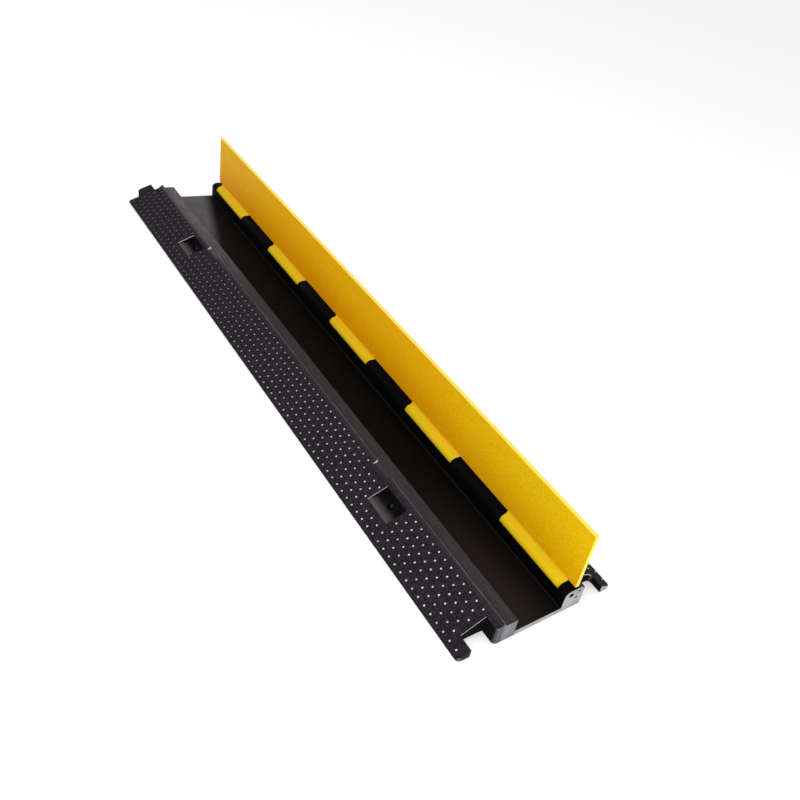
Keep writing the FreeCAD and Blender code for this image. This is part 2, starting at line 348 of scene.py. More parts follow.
@dataclass(frozen=True)
class RampShape:
    """The section of one ramp, from its toe on the ground up to its shoulder."""

    half_width: float
    shoulder: float = 60.0 * MM
    toe_height: float = 3.5 * MM
    shoulder_height: float = 23.5 * MM

    @property
    def slope(self) -> float:
        """The ramp's rise over its run."""
        return (self.shoulder_height - self.toe_height) / (self.half_width - self.shoulder)

    def depth(self, across: Signal, height: Signal) -> Signal:
        """How far a place lies under the ramp's surface.

        Args:
            across: the place's distance from the middle line.
            height: its height.

        Returns:
            The depth, straight down.
        """
        return self.toe_height + self.slope * (self.half_width - across) - height


# Finishes


@dataclass(frozen=True)
class RubberFinish:
    """Black moulded rubber: specked ramps, a rubbed rim with painted sheen, a channel floor in painted shade that
    is pale with painted light at its male end, and painted light and shade on the recesses and near end faces.
    """

    shape: RampShape
    half_length: float
    ramp: Colour = (0.0270, 0.0228, 0.0285)
    ramp_dark: Colour = (0.0075, 0.0060, 0.0080)
    # The rim: the rubbed band's grey with painted sheen on its top faces. The far colour is brighter painted sheen
    # towards the far end.
    rim: Colour = (0.037, 0.034, 0.036)
    rim_far_painted_sheen: Colour = (0.112, 0.107, 0.115)
    # The channel floor's colours are painted shade of the lid, lighter towards the near end, and a painted pool of
    # light at the far end.
    floor: Colour = (0.0034, 0.0026, 0.0014)
    floor_near_painted_shade: Colour = (0.0160, 0.0112, 0.0115)
    floor_far_painted_light: Colour = (0.098, 0.094, 0.104)
    # Painted shade over the hinge side, under the lid.
    hinge: Colour = (0.0012, 0.0010, 0.0009)
    # A painted highlight along the foot of the hinge wall.
    hinge_foot_painted_highlight: Colour = (0.0100, 0.0090, 0.0095)
    edge: Colour = (0.105, 0.100, 0.108)
    # Painted shade on the walls that face across the ramp, on the recess walls that face the near end, and on each
    # pocket floor by its inner wall.
    wall_painted_shade: Colour = (0.0040, 0.0032, 0.0036)
    # Painted light on the pockets' up-facing floors.
    pocket: Colour = (0.070, 0.064, 0.069)
    # A painted highlight along the top of the recess walls that face the near end.
    lip_painted_highlight: Colour = (0.42, 0.42, 0.47)
    # Painted light on the end faces at the near end.
    end_face_painted_light: Colour = (0.34, 0.34, 0.35)

    # Gloss and relief
    specular: float = 0.03
    roughness: float = 0.66
    rim_polish: float = 0.14
    floor_polish: float = 0.10
    mottle_roughness: float = 0.10
    grain_depth: float = 0.30 * MM
    grain_strength: float = 0.40
    grain_share: float = 0.55

    # Patterns
    mottle: Pattern = Pattern(46.0, 4.0, (0.36, 0.70))
    speckle: Pattern = Pattern(640.0, 3.0, (0.36, 0.66))
    drawn: Pattern = Pattern(420.0, 5.0, (0.38, 0.72), (0.10, 1.0, 1.0))
    grain: Pattern = Pattern(1500.0, 2.0)

    # How far a face looks up, sideways or along, and how worn it is, for its colour to begin and be full
    level_span: Span = (0.55, 0.95)
    upright_span: Span = (0.78, 0.95)
    end_span: Span = (0.55, 0.90)
    worn_span: Span = (0.25, 0.90)

    # How much of a colour shows at least, where a pattern thins it
    rim_least: float = 0.60
    worn_least: float = 0.35
    pale_least: float = 0.85
    end_light_least: float = 0.72

    # How much of a colour or shade shows at most
    wall_cover: float = 0.90
    hinge_cover: float = 0.85
    outer_shade: float = 0.55
    inner_shade: float = 0.42

    # Where the rim, the channel's floor and the hinge lie
    rim_span: Span = (58.5 * MM, 54.0 * MM)
    rim_height: float = 24.2 * MM
    rim_fade: Span = (-0.10, -0.42)
    floor_height: float = 8.0 * MM
    channel_reach: float = 35.5 * MM
    # The floor's painted shade lightens towards the near end and deepens by the hinge; the painted light at the
    # far end stops at a slanting painted shadow edge.
    floor_near_span: Span = (0.22, 0.48)
    floor_hinge_span: Span = (-0.030, 0.028)
    far_light_span: Span = (-0.385, -0.465)
    far_light_slant: float = 3.75
    hinge_start: float = 29.0 * MM
    hinge_end: float = 47.5 * MM
    foot_start: float = 27.8 * MM

    # Where the pockets, their lips and the end faces lie
    pocket_floor: float = 12.5 * MM
    pocket_margin: float = 0.1 * MM
    pocket_span: Span = (68.0 * MM, 84.0 * MM)
    lip_width: float = 1.3 * MM
    end_margin: float = 1.0 * MM
    rim_outer: float = -60.0 * MM
    rim_turn: float = 12.0 * MM
    rim_inner: float = -34.0 * MM

    def build(self) -> bpy.types.Material:
        """Make the material.

        Returns:
            The material.
        """
        shader = Shader("black_rubber")
        mottle, drawn = shader.noise(self.mottle), shader.noise(self.drawn)
        across = abs(shader.y)
        up = shader.facing_z.rise(*self.level_span)
        rim = across.rise(*self.rim_span) * (shader.z > self.rim_height) * up
        floor = (across < self.channel_reach) * (shader.z < self.floor_height) * up
        hinge = (shader.y > self.hinge_start) * (shader.y < self.hinge_end)

        # Painted sheen on the rim's top faces, brighter towards the far end, laid through the rubbed band's
        # scratch pattern.
        rim_top = shader.mix(shader.x.rise(*self.rim_fade), self.rim, self.rim_far_painted_sheen)
        colour = shader.mix(shader.noise(self.speckle), self.ramp_dark, self.ramp)
        # The channel floor, in painted shade and painted light.
        colour = shader.mix(floor, colour, self.channel(shader, mottle))
        colour = shader.mix(rim * drawn.lifted(self.rim_least), colour, rim_top)
        # Painted shade over the hinge side.
        colour = shader.mix(hinge, colour, self.hinge)
        # A painted highlight on the floor along the foot of the hinge wall.
        colour = shader.mix(floor * (shader.y > self.foot_start), colour, self.hinge_foot_painted_highlight)
        worn = shader.attribute(WEAR).rise(*self.worn_span)
        colour = shader.mix(worn * mottle.lifted(self.worn_least) * (1.0 - hinge), colour, self.edge)
        colour = self.recesses(shader, colour, across, up)
        colour = self.ends(shader, colour, across, mottle)

        shader.set("Base Color", colour)
        polish = self.rim_polish * rim + self.floor_polish * floor
        shader.set("Roughness", self.roughness - polish + self.mottle_roughness * mottle)
        shader.set("Specular IOR Level", self.specular)
        grain = self.grain_share * shader.noise(self.grain)
        scratches = (1.0 - self.grain_share) * drawn * rim
        shader.bump(grain + scratches, self.grain_depth, self.grain_strength)
        return shader.material

    def channel(self, shader: Shader, mottle: Signal) -> bpy.types.NodeSocket:
        """Colour the channel's floor: brown-black painted shade of the lid, darker by the hinge and lighter
        towards the near end, pale with painted light at the male end.

        Args:
            shader: the material.
            mottle: its soft patches.

        Returns:
            The floor's colour.
        """
        # Painted shade of the lid, lighter towards the near end and darker by the hinge.
        near = shader.x.rise(*self.floor_near_span)
        hinge_shade = shader.y.rise(*self.floor_hinge_span)
        # A painted pool of light at the male end, cut off by a slanting painted shadow edge, patchy by the mottle.
        pale = (shader.x + self.far_light_slant * shader.y).rise(*self.far_light_span)
        colour = shader.mix(near, self.floor, self.floor_near_painted_shade)
        colour = shader.mix(self.hinge_cover * hinge_shade, colour, self.hinge)
        return shader.mix(pale * mottle.lifted(self.pale_least), colour, self.floor_far_painted_light)

    def recesses(self, shader: Shader, colour: bpy.types.NodeSocket, across: Signal,
                 up: Signal) -> bpy.types.NodeSocket:
        """Colour the pockets' floors with painted light that fades into painted shade by their inner walls, and
        give the walls of the pockets and cut-outs painted shade.

        Args:
            shader: the material.
            colour: the colour so far.
            across: the distance from the middle line.
            up: 1 where the surface faces up.

        Returns:
            The colour with the recesses.
        """
        # Painted light on each pocket's floor, fading into painted shade towards its inner wall.
        inside = abs(shader.z - self.pocket_floor) < self.pocket_margin
        pocket = inside * (across < self.pocket_span[1]) * up
        recess = shader.mix(across.rise(*self.pocket_span), self.wall_painted_shade, self.pocket)
        colour = shader.mix(pocket, colour, recess)
        # Painted shade on the upright walls that face across the ramp, outside the rim.
        upright = abs(shader.facing_y).rise(*self.upright_span)
        beyond = across > self.rim_span[1]
        return shader.mix(self.wall_cover * upright * beyond, colour, self.wall_painted_shade)

    def ends(self, shader: Shader, colour: bpy.types.NodeSocket, across: Signal,
             mottle: Signal) -> bpy.types.NodeSocket:
        """Colour what faces the female end: painted light on the end faces, and painted shade on the recess walls
        with a painted highlight along their lip.

        Args:
            shader: the material.
            colour: the colour so far.
            across: the distance from the middle line.
            mottle: soft patches.

        Returns:
            The colour with these faces.
        """
        # Faces turned to the near end, which take the painted light and shade below.
        cut = shader.facing_x.rise(*self.end_span)
        end = shader.x > self.half_length - self.end_margin
        inner = cut * (1.0 - end)
        near_top = self.shape.depth(across, shader.z) < self.lip_width
        # Painted shade on the recess walls that face the near end.
        colour = shader.mix(inner, colour, self.wall_painted_shade)
        # A painted highlight along the top of those walls.
        colour = shader.mix(inner * near_top, colour, self.lip_painted_highlight)
        # Painted light on the near end faces, dimmed by painted shade towards the ramp on the lid's opening side,
        # patchy by the mottle.
        outside = 1.0 - (shader.y - self.rim_outer).rise(0.0, self.rim_turn)
        shaded = 1.0 - self.outer_shade * outside - self.inner_shade * (shader.y < self.rim_inner)
        return shader.mix(cut * end * shaded * mottle.lifted(self.end_light_least), colour, self.end_face_painted_light)


@dataclass(frozen=True)
class StudFinish:
    """The rubber of the studs, glossier on their crowns, which carry a painted highlight."""

    root: Colour = (0.011, 0.011, 0.013)
    # A painted highlight on the studs' crowns.
    crown: Colour = (0.62, 0.62, 0.64)
    specular: float = 0.30
    crown_span: Span = (0.66, 0.92)
    # Patches that thin the painted highlight on the crowns, and its growth towards the near end.
    wear: Pattern = Pattern(60.0, 3.0, (0.30, 0.62))
    length_span: Span = (-0.42, 0.40)
    length_least: float = 0.14
    highlight_least: float = 0.55
    roughness: float = 0.55
    crown_polish: float = 0.20

    def build(self) -> bpy.types.Material:
        """Make the material.

        Returns:
            The material.
        """
        shader = Shader("stud_rubber")
        crown = shader.attribute(CROWN).rise(*self.crown_span)
        # The painted highlight: on the crowns, stronger towards the near end, patchy.
        along = shader.x.rise(*self.length_span).lifted(self.length_least)
        painted_highlight = crown * along * shader.noise(self.wear).lifted(self.highlight_least)
        shader.set("Base Color", shader.mix(painted_highlight, self.root, self.crown))
        shader.set("Roughness", self.roughness - self.crown_polish * crown)
        shader.set("Specular IOR Level", self.specular)
        return shader.material


@dataclass(frozen=True)
class LidFinish:
    """Yellow moulded PVC with a fine grit and faint flow marks, deepened by painted shade towards its root,
    yellowed by painted light at its near end, and paler on its borders from wear and a painted highlight.
    """

    root_height: float
    # The deep orange stands for painted shade low on the plate and for the darker flow patches.
    body: Colour = (0.672, 0.385, 0.0016)
    deep: Colour = (0.690, 0.246, 0.0008)
    grit: Colour = (0.560, 0.230, 0.0010)
    # Painted light: the yellower colour towards the near end.
    near_light: Colour = (0.68, 0.450, 0.0030)
    barrel: Colour = (0.60, 0.430, 0.0080)
    # The borders' pale yellow: wear on the roundings, and a painted highlight on faces turned to the near end and
    # up.
    edge: Colour = (0.90, 0.70, 0.13)
    scuff: Colour = (0.72, 0.46, 0.03)
    specular: float = 0.04
    roughness: float = 0.46
    flow_roughness: float = 0.10
    rubbed_roughness: float = 0.08
    grain_depth: float = 0.14 * MM
    grain_strength: float = 0.30
    grain_share: float = 0.70

    # Patterns
    flow: Pattern = Pattern(11.0, 4.0, (0.32, 0.68), (0.55, 1.0, 1.2))
    fine: Pattern = Pattern(230.0, 5.0, (0.35, 0.72))
    rubbed: Pattern = Pattern(380.0, 5.0, (0.64, 0.80), (0.35, 1.0, 1.0))
    coarse: Pattern = Pattern(520.0, 2.0, (0.48, 0.66))
    grain: Pattern = Pattern(1300.0, 2.0)

    # How much the height, which stands for painted shade low on the plate, and the two soft patterns turn the deep
    # yellow into the body's
    height_share: float = 0.60
    flow_share: float = 0.25
    fine_share: float = 0.25

    # How much of each colour shows at most. The painted light at the near end shows half as much at the plate's
    # root
    near_light_cover: float = 0.80
    near_light_root: float = 0.40
    grit_cover: float = 0.50
    barrel_cover: float = 0.85
    scuff_cover: float = 0.30
    edge_cover: float = 0.70

    # Where the colours change
    worn_span: Span = (0.20, 0.80)
    border_span: Span = (0.60, 0.90)
    length_span: Span = (0.02, 0.50)
    top_height: float = 96.0 * MM
    knuckle_below: float = 2.0 * MM
    knuckle_above: float = 1.5 * MM

    def build(self) -> bpy.types.Material:
        """Make the material.

        Returns:
            The material.
        """
        shader = Shader("yellow_pvc")
        flow, fine, rubbed = (shader.noise(pattern) for pattern in (self.flow, self.fine, self.rubbed))
        low, high = self.root_height - self.knuckle_below, self.root_height + self.knuckle_above
        knuckle = 1.0 - shader.z.rise(low, high)
        height = shader.z.rise(self.root_height, self.top_height)
        near = shader.x.rise(*self.length_span)
        worn = shader.attribute(WEAR).rise(*self.worn_span) * (1.0 - self.barrel_cover * knuckle)
        # A painted highlight on faces turned to the near end and on the top faces, more so higher up, added to the
        # wear on the roundings.
        top = shader.facing_z.rise(*self.border_span) * height
        border_wear_and_highlight = shader.math("MINIMUM", worn + shader.facing_x.rise(*self.border_span) + top, 1.0)

        # Painted shade: deeper orange towards the plate's root, mixed with the flow patches.
        shade_and_tone = height * self.height_share + flow * self.flow_share + fine * self.fine_share
        # Painted light towards the near end, stronger higher up the plate.
        near_light = near * (self.near_light_root + (self.near_light_cover - self.near_light_root) * height)
        colour = shader.mix(shade_and_tone, self.deep, self.body)
        colour = shader.mix(near_light, colour, self.near_light)
        colour = shader.mix(shader.noise(self.coarse) * self.grit_cover, colour, self.grit)
        colour = shader.mix(knuckle * self.barrel_cover, colour, self.barrel)
        colour = shader.mix(rubbed * self.scuff_cover, colour, self.scuff)
        colour = shader.mix(border_wear_and_highlight * self.edge_cover, colour, self.edge)

        shader.set("Base Color", colour)
        sheen_loss = self.flow_roughness * flow + self.rubbed_roughness * rubbed
        shader.set("Roughness", self.roughness + sheen_loss)
        shader.set("Specular IOR Level", self.specular)
        relief = shader.noise(self.grain) * self.grain_share + fine * (1.0 - self.grain_share)
        shader.bump(relief, self.grain_depth, self.grain_strength)
        return shader.material


@dataclass(frozen=True)
class RodFinish:
    """Drawn steel."""

    steel: Colour = (0.50, 0.50, 0.51)
    dull: Colour = (0.26, 0.24, 0.22)
    stain: Pattern = Pattern(180.0, 4.0, (0.45, 0.75))
    drawn: Pattern = Pattern(900.0, 3.0, stretch=(0.04, 1.0, 1.0))
    drawn_depth: float = 0.03 * MM
    drawn_strength: float = 0.30
    stain_cover: float = 0.60
    roughness: float = 0.30
    stain_roughness: float = 0.25

    def build(self) -> bpy.types.Material:
        """Make the material.

        Returns:
            The material.
        """
        shader = Shader("drawn_steel")
        stain = shader.noise(self.stain)
        shader.set("Base Color", shader.mix(stain * self.stain_cover, self.steel, self.dull))
        shader.set("Metallic", 1.0)
        shader.set("Roughness", self.roughness + self.stain_roughness * stain)
        shader.bump(shader.noise(self.drawn), self.drawn_depth, self.drawn_strength)
        return shader.material


@dataclass(frozen=True)
class FloorFinish:
    """Plain pale studio floor."""

    colour: Colour = (0.95, 0.95, 0.95)
    shade: Colour = (0.93, 0.93, 0.93)
    patches: Pattern = Pattern(30.0, 3.0)
    roughness: float = 0.9

    def build(self) -> bpy.types.Material:
        """Make the material.

        Returns:
            The material.
        """
        shader = Shader("studio_floor")
        shader.set("Base Color", shader.mix(shader.noise(self.patches), self.colour, self.shade))
        shader.set("Roughness", self.roughness)
        return shader.material


# Mesh tools


def add_object(name: str, mesh: bpy.types.Mesh) -> bpy.types.Object:
    """Put a mesh in the scene as an object at the origin.

    Args:
        name: the object's name.
        mesh: its mesh.

    Returns:
        The object.
    """
    piece = bpy.data.objects.new(name, mesh)
    bpy.context.scene.collection.objects.link(piece)
    return piece


def mesh_from(name: str, build: Callable[[bmesh.types.BMesh], None]) -> bpy.types.Mesh:
    """Make a mesh with a function that fills a BMesh.

    Args:
        name: the mesh's name.
        build: the function.

    Returns:
        The mesh, its faces pointing outwards.
    """
    shape = bmesh.new()
    build(shape)
    bmesh.ops.recalc_face_normals(shape, faces=shape.faces)
    mesh = bpy.data.meshes.new(name)
    shape.to_mesh(mesh)
    shape.free()
    return mesh


def settle(piece: bpy.types.Object, sharp_degrees: float) -> None:
    """Turn a piece with modifiers into a plain mesh: wide faces flat, roundings smooth, corners crisp.

    Args:
        piece: the object.
        sharp_degrees: the corner angle above which an edge stays crisp.
    """
    bpy.context.view_layer.update()
    graph = bpy.context.evaluated_depsgraph_get()
    mesh = bpy.data.meshes.new_from_object(piece.evaluated_get(graph), depsgraph=graph)
    mesh.name = piece.name
    piece.modifiers.clear()
    piece.data = mesh
    mesh.shade_smooth()
    mesh.set_sharp_from_angle(angle=math.radians(sharp_degrees))
    for face in mesh.polygons:
        outline = sum((mesh.vertices[a].co - mesh.vertices[b].co).length for a, b in face.edge_keys)
        face.use_smooth = 2.0 * face.area < FLAT_WIDTH * outline


def mark_corners(piece: bpy.types.Object, reach: float) -> None:
    """Store 1 for each vertex that has only the narrow faces of a rounding round it, and 0 for the rest.

    Args:
        piece: the settled piece.
        reach: the widest face that counts as part of a rounding.
    """
    mesh = piece.data
    shape = bmesh.new()
    shape.from_mesh(mesh)
    narrow = [2.0 * face.calc_area() < reach * face.calc_perimeter() for face in shape.faces]
    wear = [float(all(narrow[face.index] for face in vert.link_faces)) for vert in shape.verts]
    shape.free()
    mesh.attributes.new(WEAR, "FLOAT", "POINT").data.foreach_set("value", wear)


def finish_piece(piece: bpy.types.Object, body: Body, slot: Slot, *nodes: str) -> None:
    """Tell the frame which body a piece rides on, and hide the CAD nodes that it replaces.

    Args:
        piece: the finished piece.
        body: the body that carries it.
        slot: not used.
        nodes: the CAD nodes that it replaces.
    """
    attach(piece, body.value)
    if nodes:
        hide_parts(*nodes)
    log.info("%s: %d faces on body %s", piece.name, len(piece.data.polygons), body.value)


def add_bevel(piece: bpy.types.Object, width: float, segments: int, angle: float) -> None:
    """Round the corners of a piece.

    Args:
        piece: the object.
        width: the rounding's width in metres.
        segments: how many faces make it round.
        angle: only corners sharper than this, in degrees, are rounded.
    """
    bevel = piece.modifiers.new("rounding", "BEVEL")
    bevel.width = width
    bevel.segments = segments
    bevel.limit_method = "ANGLE"
    bevel.angle_limit = math.radians(angle)


class Tree(Graph):
    """A Geometry Nodes tree under construction, with named inputs."""

    def __init__(self, name: str, kinds: dict[str, str]) -> None:
        """Start a tree with its inputs and one output, a geometry.

        Args:
            name: the tree's name.
            kinds: the kind of each input by its name. A geometry comes before them.
        """
        super().__init__(bpy.data.node_groups.new(name, "GeometryNodeTree"))
        add = self.tree.interface.new_socket
        self.identifiers = {
            label: add(label, in_out="INPUT", socket_type=f"NodeSocket{kind}").identifier
            for label, kind in {"Geometry": "Geometry", **kinds}.items()}
        add("Geometry", in_out="OUTPUT", socket_type="NodeSocketGeometry")
        self.start = self.node("NodeGroupInput")
        self.end = self.node("NodeGroupOutput")

    def given(self, name: str) -> Signal:
        """The tree's input with this name."""
        return Signal(self, self.start.outputs[name])

    def realize(self, geometry: bpy.types.NodeSocket) -> bpy.types.NodeSocket:
        """The same geometry with its instances made real."""
        return self.node("GeometryNodeRealizeInstances", {}, {"Geometry": geometry}).outputs[0]

    def close(self, geometry: bpy.types.NodeSocket) -> None:
        """End the tree with real geometry in the finish that it was given.

        Args:
            geometry: what the tree has made.
        """
        dressed = self.node("GeometryNodeSetMaterial", {}, {
            "Geometry": self.realize(geometry), "Material": self.given("Finish")})
        self.feed(self.end.inputs[0], dressed.outputs[0])

    def attach(self, piece: bpy.types.Object, values: dict[str, object]) -> None:
        """Put the tree on an object.

        Args:
            piece: the object.
            values: a value for each named input.
        """
        modifier = piece.modifiers.new(self.tree.name, "NODES")
        modifier.node_group = self.tree
        for name, value in values.items():
            modifier[self.identifiers[name]] = value


# The base moulding


@dataclass
class StudField:
    """Rows of small domes on a ramp, every other row half a pitch along."""

    ramp: RampShape
    half_length: float
    pitch_along: float = 12.1 * MM
    pitch_across: float = 8.2 * MM
    columns: int = 6
    rows: int = 83
    radius: float = 1.8 * MM
    height: float = 1.3 * MM
    segments: int = 10
    rings: int = 8
    cut_level: float = -0.3
    shift: float = -2.8 * MM
    margin: float = 4.4 * MM
    keep_off: float = 3.2 * MM
    end_margin: float = 4.0 * MM
    sharp_degrees: float = 180.0

    def tree(self) -> Tree:
        """Build the tree that lays the domes out.

        Returns:
            The tree, whose named inputs are its sizes.
        """
        sizes = ("Pitch Along", "Pitch Across", "Radius", "Height", "Slope", "Toe Height",
                 "First Row", "First Column", "Half Width")
        tree = Tree("stud_field", {
            **dict.fromkeys(sizes, "Float"), "Rows": "Int", "Columns": "Int", "Finish": "Material"})
        tilt = tree.math("ARCTANGENT", tree.given("Slope"))
        placed = tree.node("GeometryNodeInstanceOnPoints", {}, {
            "Points": self.lay_out(tree), "Instance": self.dome(tree), "Rotation": tree.join(x=tilt)})
        tree.close(placed.outputs[0])
        return tree

    def lay_out(self, tree: Tree) -> bpy.types.NodeSocket:
        """Add the nodes that place a point for each dome.

        Args:
            tree: the tree that gets them.

        Returns:
            The points, on the near ramp's surface.
        """
        rows, columns = tree.given("Rows"), tree.given("Columns")
        pitch_along, pitch_across = tree.given("Pitch Along"), tree.given("Pitch Across")
        long = pitch_along * (rows - 1)
        wide = pitch_across * (columns - 1)
        grid = tree.node("GeometryNodeMeshGrid", {}, {
            "Size X": long, "Size Y": wide, "Vertices X": rows, "Vertices Y": columns})
        x, y, _ = tree.split(tree.node("GeometryNodeInputPosition").outputs[0])
        from_toe = y + wide * 0.5
        column = tree.math("ROUND", tree.math("DIVIDE", from_toe, pitch_across))
        stagger = tree.math("MODULO", column, 2.0) * (pitch_along * 0.5)
        along = (x + long * 0.5) + (stagger + tree.given("First Row"))
        across = from_toe + tree.given("First Column")
        inward = tree.given("Half Width") + across
        up = tree.given("Toe Height") + inward * tree.given("Slope")
        moved = tree.node("GeometryNodeSetPosition", {}, {
            "Geometry": grid.outputs["Mesh"], "Position": tree.join(along, across, up)})
        return moved.outputs[0]

    def dome(self, tree: Tree) -> bpy.types.NodeSocket:
        """Add the nodes that make one dome.

        Args:
            tree: the tree that gets them.

        Returns:
            The dome, with its height stored as the attribute crown.
        """
        ball = tree.node("GeometryNodeMeshUVSphere", {}, {
            "Segments": self.segments, "Rings": self.rings, "Radius": 1.0})
        level = tree.split(tree.node("GeometryNodeInputPosition").outputs[0])[2]
        buried = tree.node("FunctionNodeCompare", {"data_type": "FLOAT", "operation": "LESS_THAN"},
                           {0: level, 1: self.cut_level})
        half = tree.node("GeometryNodeDeleteGeometry", {"domain": "POINT"}, {
            "Geometry": ball.outputs["Mesh"], "Selection": buried.outputs[0]})
        stored = tree.node("GeometryNodeStoreNamedAttribute", {"data_type": "FLOAT", "domain": "POINT"}, {
            "Geometry": half.outputs[0], "Name": CROWN, "Value": level})
        radius = tree.given("Radius")
        sized = tree.node("GeometryNodeTransform", {}, {
            "Geometry": stored.outputs[0], "Scale": tree.join(radius, radius, tree.given("Height"))})
        return sized.outputs[0]

    def build(self, side: int, blocked: list[tuple[Vector, Vector]], finish: bpy.types.Material) -> None:
        """Make the domes of one ramp.

        Args:
            side: -1 for the ramp on the lid's opening side, 1 for the ramp behind the hinge.
            blocked: low and high corners of the pockets, notches and cut-outs.
            finish: the material.
        """
        name = "studs_near" if side < 0 else "studs_far"
        piece = add_object(name, bpy.data.meshes.new(name))
        self.tree().attach(piece, {
            "Pitch Along": self.pitch_along, "Pitch Across": self.pitch_across,
            "Radius": self.radius, "Height": self.height,
            "Slope": self.ramp.slope, "Toe Height": self.ramp.toe_height,
            "First Row": self.shift - 0.5 * self.pitch_along * (self.rows - 0.5),
            "First Column": self.margin - self.ramp.half_width, "Half Width": self.ramp.half_width,
            "Rows": self.rows, "Columns": self.columns, "Finish": finish})
        settle(piece, self.sharp_degrees)
        if side > 0:
            piece.data.transform(Matrix.Diagonal((1.0, -1.0, 1.0, 1.0)))
            piece.data.flip_normals()
        self.clear(piece.data, blocked)
        finish_piece(piece, Body.BASE, Slot.RUBBER)

    def clear(self, mesh: bpy.types.Mesh, blocked: list[tuple[Vector, Vector]]) -> None:
        """Take away each dome that would stand over a pocket or past an end, and close the rest below.

        Args:
            mesh: the domes.
            blocked: low and high corners of the places to leave free.
        """
        shape = bmesh.new()
        shape.from_mesh(mesh)
        for island in islands(shape):
            middle = sum((vert.co for vert in island), Vector()) / len(island)
            past_end = abs(middle.x) > self.half_length - self.end_margin
            if past_end or any(holds(low, high, middle, self.keep_off) for low, high in blocked):
                bmesh.ops.delete(shape, geom=island, context="VERTS")
        bmesh.ops.holes_fill(shape, edges=shape.edges, sides=0)
        bmesh.ops.recalc_face_normals(shape, faces=shape.faces)
        shape.to_mesh(mesh)
        shape.free()


def holds(low: Vector, high: Vector, spot: Vector, margin: float) -> bool:
    """Whether a box, widened by a margin, holds a spot seen from above.

    Args:
        low: the box's low corner.
        high: its high corner.
        spot: the place.
        margin: how much wider the box counts.

    Returns:
        True if it does.
    """
    return all(low[axis] - margin < spot[axis] < high[axis] + margin for axis in (0, 1))


def islands(shape: bmesh.types.BMesh) -> list[list[bmesh.types.BMVert]]:
    """The separate shells of a mesh.

    Args:
        shape: the mesh.

    Returns:
        The vertices of each shell.
    """
    found: list[list[bmesh.types.BMVert]] = []
    seen: set[bmesh.types.BMVert] = set()
    for start in shape.verts:
        if start in seen:
            continue
        seen.add(start)
        shell, queue = [], [start]
        while queue:
            vert = queue.pop()
            shell.append(vert)
            for edge in vert.link_edges:
                other = edge.other_vert(vert)
                if other not in seen:
                    seen.add(other)
                    queue.append(other)
        found.append(shell)
    return found


@dataclass
class BaseMoulding:
    """The rubber moulding: two ramps, a cable channel and the black half of the hinge."""

    corner_rounding: float = 0.7 * MM
    rounding_segments: int = 2
    rounding_degrees: float = 38.0
    sharp_degrees: float = 40.0
    merge_distance: float = 0.005 * MM
    flat_degrees: float = 0.6
    body_end: float = 500.0 * MM

    def shell(self, finish: bpy.types.Material) -> None:
        """Make the moulding from the frame's own solid, with its corners softened.

        Args:
            finish: the rubber.
        """
        source = frame["nodes"]["base_moulding"].data

        def fill(shape: bmesh.types.BMesh) -> None:
            """Take the solid's triangles, merged into flat faces.

            Args:
                shape: the mesh that gets them.
            """
            shape.from_mesh(source)
            bmesh.ops.remove_doubles(shape, verts=shape.verts, dist=self.merge_distance)
            bmesh.ops.dissolve_limit(shape, angle_limit=math.radians(self.flat_degrees),
                                     verts=shape.verts, edges=shape.edges)

        mesh = mesh_from("base_shell", fill)
        mesh.materials.append(finish)
        piece = add_object("base_shell", mesh)
        add_bevel(piece, self.corner_rounding, self.rounding_segments, self.rounding_degrees)
        settle(piece, self.sharp_degrees)
        mark_corners(piece, self.corner_rounding)
        finish_piece(piece, Body.BASE, Slot.RUBBER, "base_moulding")

    def blocked(self) -> list[tuple[Vector, Vector]]:
        """Look up the record's pockets, notches and cut-outs.

        Returns:
            Their low and high corners.
        """
        openings = frame["record"]["physics"]["openings"]
        boxes = [opening["box_m"] for opening in openings if opening["name"] != "cable_channel"]
        return [(Vector(low), Vector(high)) for low, high in boxes]

    def build(self) -> None:
        """Make the moulding and its studs."""
        ramp = RampShape(half_width=CAD_BOX[1][1])
        self.shell(RubberFinish(ramp, self.body_end).build())
        studs = StudField(ramp, self.body_end)
        rubber = StudFinish().build()
        for side in (-1, 1):
            studs.build(side, self.blocked(), rubber)


# The lid and its rod


